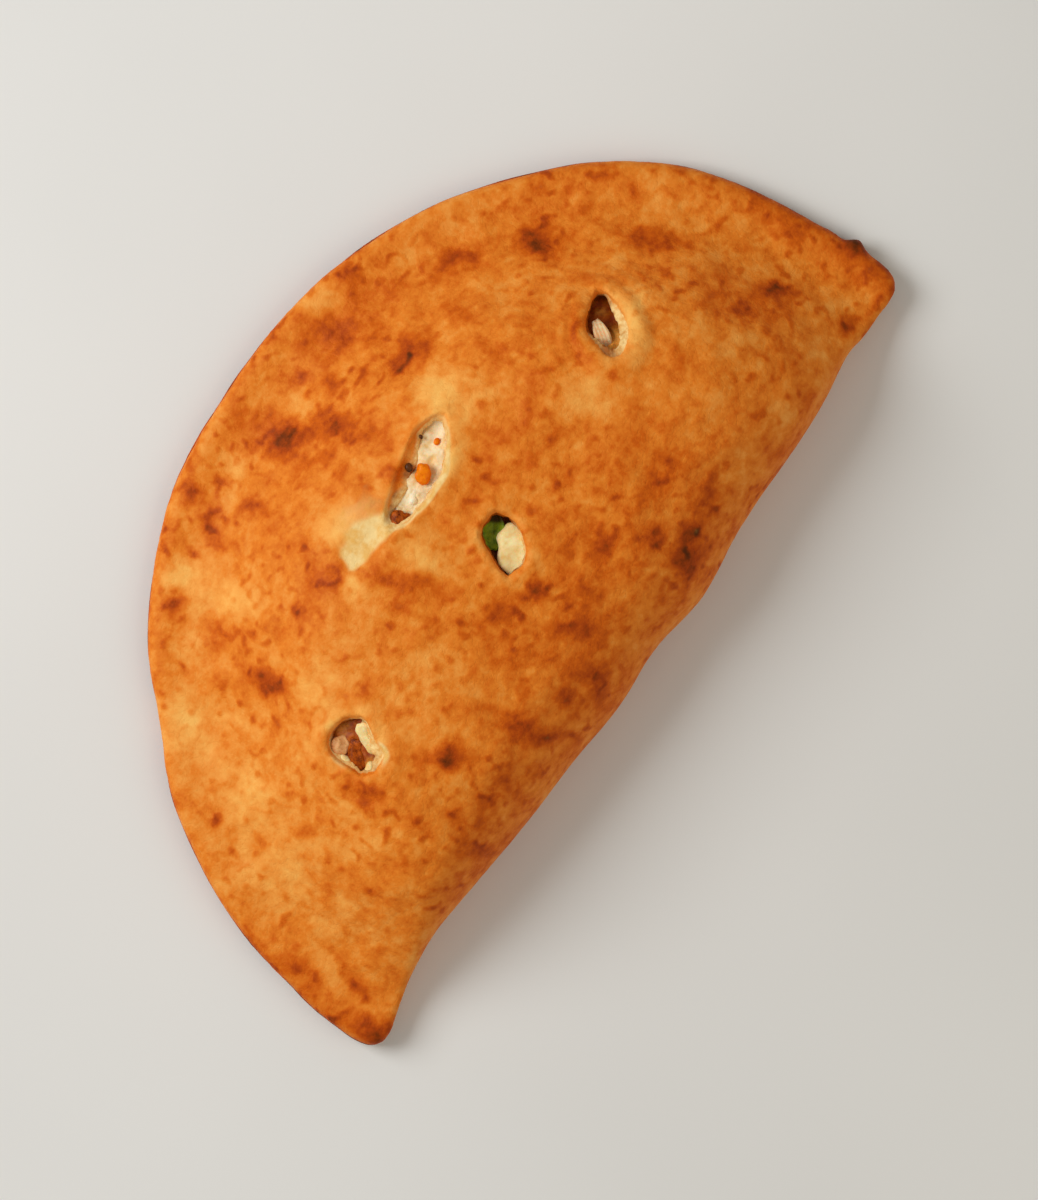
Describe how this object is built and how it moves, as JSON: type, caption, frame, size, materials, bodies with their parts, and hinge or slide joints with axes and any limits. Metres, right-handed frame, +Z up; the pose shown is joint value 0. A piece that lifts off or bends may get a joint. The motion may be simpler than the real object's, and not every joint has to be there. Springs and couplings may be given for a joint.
{
  "type": "baked panzerotto",
  "caption": "Baked half-moon panzerotto: golden dough folded over a cheese filling that shows through torn vents in its top.",
  "frame": {"origin": "under the middle of the bounding box, on the plane that the panzerotto lies on", "axes": "+X along the fold from the left tip to the right tip, +Y from the fold to the sealed curved edge, +Z up"},
  "size_m": [0.2636, 0.142, 0.0419],
  "materials": {
    "dough": "golden baked crust, matt with a slight oily sheen",
    "filling": "moist cream-white cheese",
    "cheese": "half-melted pale yellow cheese",
    "leaf": "cooked dark green leaf",
    "onion": "moist pinkish cream onion",
    "tomato": "moist orange tomato",
    "sausage": "browned meat",
    "olive": "dark olive flesh",
    "ham": "pink cooked ham"
  },
  "bodies": {
    "root": {"dough": "dough", "cheese_filling": "filling", "cheese_cube": "cheese", "cheese_shard": "cheese", "basil_leaf": "leaf", "onion_curl": "onion", "tomato_dice": "tomato", "sausage_crumb": "sausage", "sausage_sliver": "sausage", "olive_fleck": "olive", "ham_bit": "ham"}
  },
  "joints": []
}
